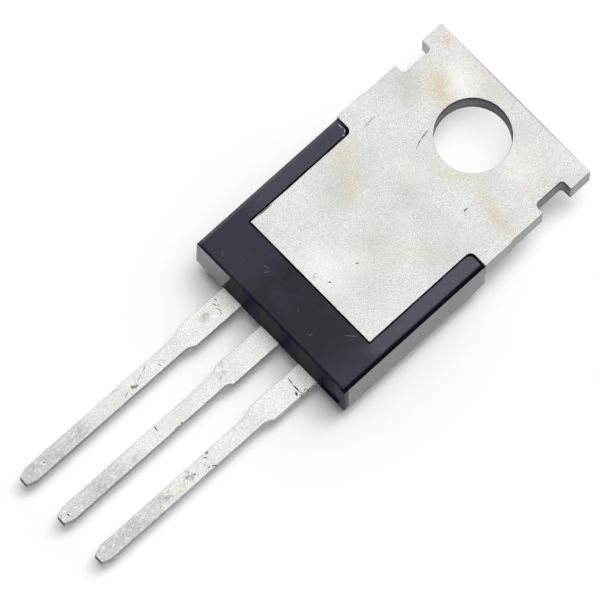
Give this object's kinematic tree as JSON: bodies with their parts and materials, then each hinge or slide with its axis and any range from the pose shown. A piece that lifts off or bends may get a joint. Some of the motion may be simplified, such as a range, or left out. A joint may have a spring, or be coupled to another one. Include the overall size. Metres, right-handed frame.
{
  "type": "power transistor",
  "caption": "Black moulded power transistor with a bare metal mounting tab, a screw hole through the tab and a row of flat straight leads.",
  "frame": {"origin": "centre of the mounting hole, on the tab's bare back face", "axes": "+X across the tab, +Y up the tab away from the leads, +Z out of the tab's back face; at rest the moulded front face is down"},
  "size_m": [0.01, 0.0287, 0.0045],
  "materials": {
    "epoxy": "smooth moulded black epoxy with a low sheen",
    "tinned_copper": "satin tin plating over copper, lightly stained and scratched",
    "silicon": "polished silicon",
    "solder": "dull soft solder",
    "bond_wire": "drawn aluminium wire"
  },
  "bodies": {
    "root": {"body": "epoxy", "collector_tab": "tinned_copper", "base_lead": "tinned_copper", "emitter_lead": "tinned_copper", "silicon_die": "silicon", "die_solder": "solder", "base_wire": "bond_wire", "emitter_wire": "bond_wire"}
  },
  "joints": []
}
